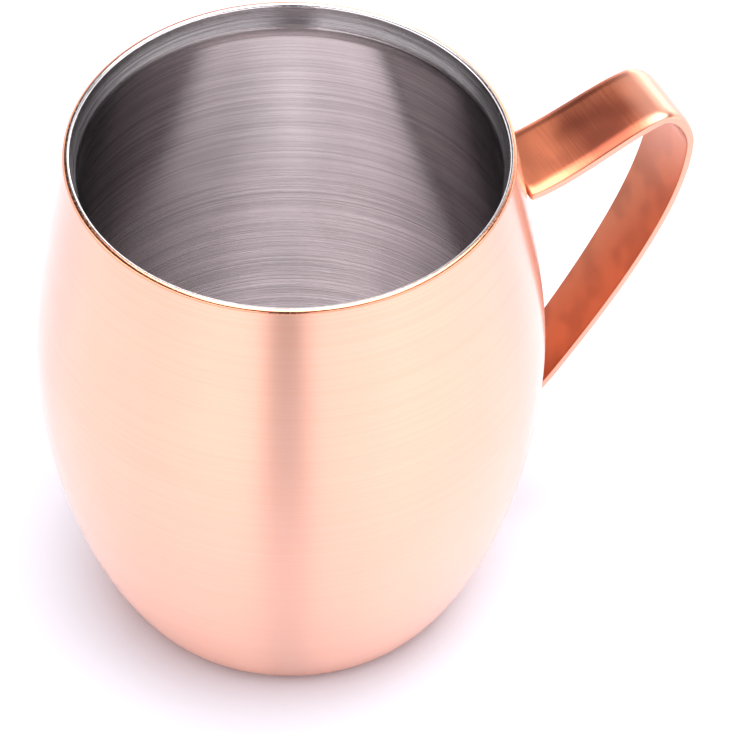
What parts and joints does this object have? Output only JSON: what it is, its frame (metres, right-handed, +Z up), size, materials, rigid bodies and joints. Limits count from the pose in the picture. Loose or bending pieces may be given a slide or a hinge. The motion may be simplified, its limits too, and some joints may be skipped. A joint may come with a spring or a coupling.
{
  "type": "copper mug",
  "caption": "Barrel-shaped double-wall copper mug with a brushed steel lining and a bent strap handle on one side.",
  "frame": {"origin": "centre of the foot on the mug's axis, at the surface it stands on", "axes": "+Z up along the barrel's axis; +X from the axis towards the handle"},
  "size_m": [0.1264, 0.0938, 0.105],
  "materials": {
    "copper": "copper plate on steel, fine lines brushed round the barrel, clear lacquer",
    "steel": "stainless steel brushed round the cup",
    "rim": "polished seam bead, copper outside and steel inside",
    "base_copper": "copper plate on steel, turned rings",
    "handle_copper": "copper plate on steel, brushed across the strap, rounded bright edges",
    "weld": "smooth brazed bead, copper-plated over"
  },
  "bodies": {
    "root": {"outer_shell": "copper", "inner_liner": "steel", "rim_weld": "rim", "base_plate": "base_copper", "base_weld": "weld", "handle_strap": "handle_copper", "handle_weld_top": "weld", "handle_weld_bottom": "weld"}
  },
  "joints": []
}
